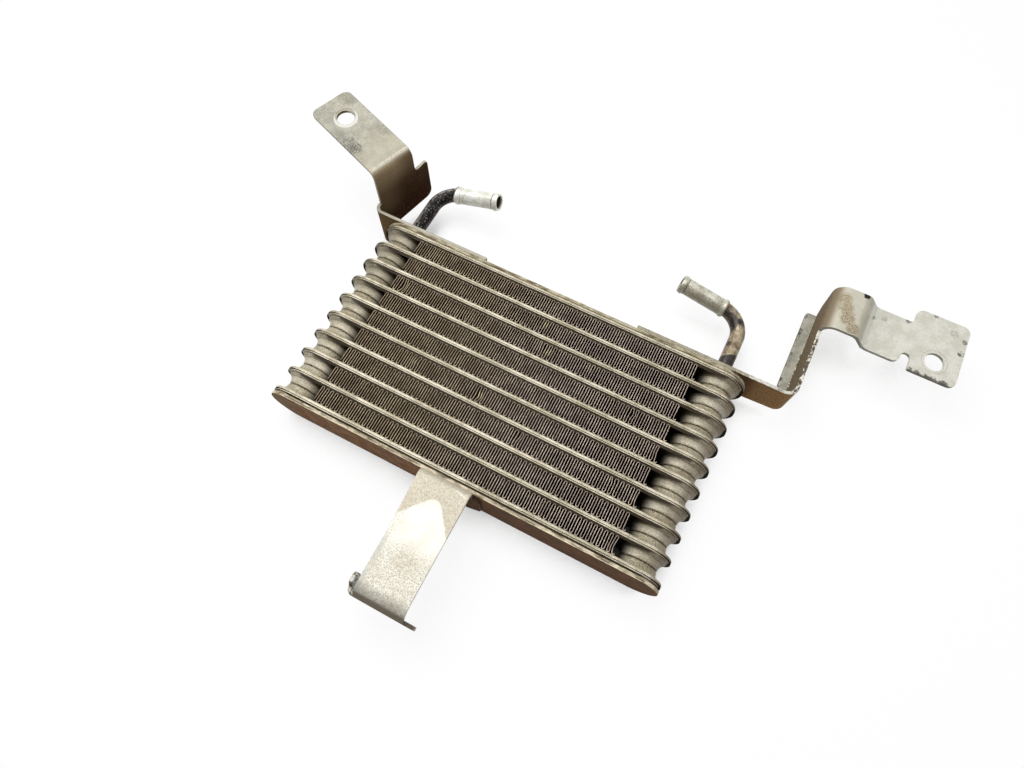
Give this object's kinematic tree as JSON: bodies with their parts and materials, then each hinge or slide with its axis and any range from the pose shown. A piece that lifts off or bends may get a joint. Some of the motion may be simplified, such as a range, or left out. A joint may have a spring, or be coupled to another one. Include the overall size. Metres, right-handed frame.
{
  "type": "oil cooler",
  "caption": "Plate-and-fin aluminium oil cooler with flat tubes, corrugated air fins, two bent hose pipes, two bolt brackets and a hook bracket",
  "frame": {"origin": "centre of the right bracket's bolt hole, on the front face of its tab", "axes": "+X along the tubes from the left pipe to the right pipe, +Y up the stack of tubes towards the pipes, +Z out of the front face of the fins, along the axis of the right bolt hole"},
  "size_m": [0.3911, 0.2781, 0.0558],
  "materials": {
    "tube_aluminium": "matte, brazed and slightly soiled",
    "fin_aluminium": "matte thin sheet",
    "bracket_aluminium": "satin sheet with scuffs and stains",
    "stained_pipe": "satin tube with dark brazing stains"
  },
  "bodies": {
    "root": {"tube_1_upper_plate": "tube_aluminium", "tube_2_upper_plate": "tube_aluminium", "tube_3_upper_plate": "tube_aluminium", "tube_4_upper_plate": "tube_aluminium", "tube_5_upper_plate": "tube_aluminium", "tube_6_upper_plate": "tube_aluminium", "tube_7_upper_plate": "tube_aluminium", "tube_8_upper_plate": "tube_aluminium", "tube_9_upper_plate": "tube_aluminium", "tube_10_upper_plate": "tube_aluminium", "tube_1_lower_plate": "tube_aluminium", "tube_2_lower_plate": "tube_aluminium", "tube_3_lower_plate": "tube_aluminium", "tube_4_lower_plate": "tube_aluminium", "tube_5_lower_plate": "tube_aluminium", "tube_6_lower_plate": "tube_aluminium", "tube_7_lower_plate": "tube_aluminium", "tube_8_lower_plate": "tube_aluminium", "tube_9_lower_plate": "tube_aluminium", "tube_10_lower_plate": "tube_aluminium", "tube_1_inner_fin": "fin_aluminium", "tube_2_inner_fin": "fin_aluminium", "tube_3_inner_fin": "fin_aluminium", "tube_4_inner_fin": "fin_aluminium", "tube_5_inner_fin": "fin_aluminium", "tube_6_inner_fin": "fin_aluminium", "tube_7_inner_fin": "fin_aluminium", "tube_8_inner_fin": "fin_aluminium", "tube_9_inner_fin": "fin_aluminium", "tube_10_inner_fin": "fin_aluminium", "outer_fin_1": "fin_aluminium", "outer_fin_2": "fin_aluminium", "outer_fin_3": "fin_aluminium", "outer_fin_4": "fin_aluminium", "outer_fin_5": "fin_aluminium", "outer_fin_6": "fin_aluminium", "outer_fin_7": "fin_aluminium", "outer_fin_8": "fin_aluminium", "outer_fin_9": "fin_aluminium", "pipe_side_end_plate": "tube_aluminium", "hook_side_end_plate": "tube_aluminium", "left_bracket": "bracket_aluminium", "right_bracket": "bracket_aluminium", "hook_bracket": "bracket_aluminium", "left_pipe": "stained_pipe", "right_pipe": "stained_pipe"}
  },
  "joints": []
}
